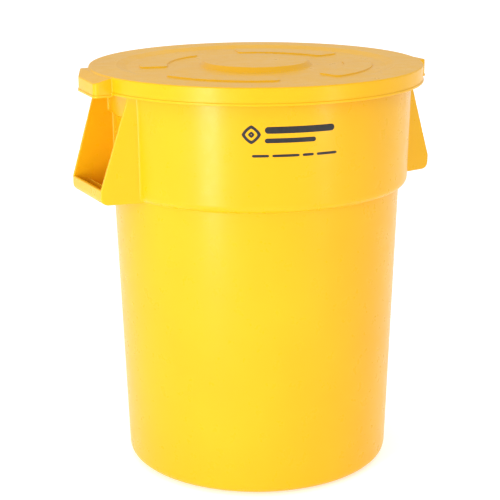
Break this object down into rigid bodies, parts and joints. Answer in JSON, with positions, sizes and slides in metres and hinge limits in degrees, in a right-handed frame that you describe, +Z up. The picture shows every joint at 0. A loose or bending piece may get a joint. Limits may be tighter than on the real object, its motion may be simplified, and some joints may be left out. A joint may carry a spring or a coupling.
{
  "type": "plastic drum container with lid",
  "caption": "Tall round plastic container with a wider collar, side hand pockets, and a round lift-off lid with a raised centre disc, low pads and side tabs.",
  "frame": {"origin": "centre of the foot ring's underside, on the container's axis", "axes": "+Z up along the container's axis, +X through the right handle, -Y towards the front"},
  "size_m": [0.7596, 0.693, 0.853],
  "materials": {
    "container_plastic": "satin moulded",
    "lid_plastic": "satin moulded",
    "print_black": "flat printed ink"
  },
  "bodies": {
    "container": {"base_panel": "container_plastic", "foot_ring": "container_plastic", "base_corner": "container_plastic", "lower_wall_front": "container_plastic", "lower_wall_rear": "container_plastic", "lower_wall_left": "container_plastic", "lower_wall_right": "container_plastic", "collar_step_front": "container_plastic", "collar_step_rear": "container_plastic", "collar_front": "container_plastic", "collar_rear": "container_plastic", "mouth_neck": "container_plastic", "mouth_flange": "container_plastic", "mouth_lip": "container_plastic", "left_handle_front_side": "container_plastic", "left_handle_rear_side": "container_plastic", "left_handle_grip": "container_plastic", "left_handle_floor": "container_plastic", "left_handle_back_wall": "container_plastic", "left_handle_roof": "container_plastic", "right_handle_front_side": "container_plastic", "right_handle_rear_side": "container_plastic", "right_handle_grip": "container_plastic", "right_handle_floor": "container_plastic", "right_handle_back_wall": "container_plastic", "right_handle_roof": "container_plastic"},
    "lid": {"lid_rim": "lid_plastic", "lid_skirt": "lid_plastic", "lid_bead": "lid_plastic", "lid_panel": "lid_plastic", "lid_disc": "lid_plastic", "lid_pad_1": "lid_plastic", "lid_pad_2": "lid_plastic", "lid_pad_3": "lid_plastic", "lid_pad_4": "lid_plastic", "left_lid_tab": "lid_plastic", "right_lid_tab": "lid_plastic"}
  },
  "joints": [
    {"name": "lid_lift", "type": "slide", "parent": "container", "child": "lid", "axis": [0, 0, 1], "range_m": [0, 0.3]}
  ]
}
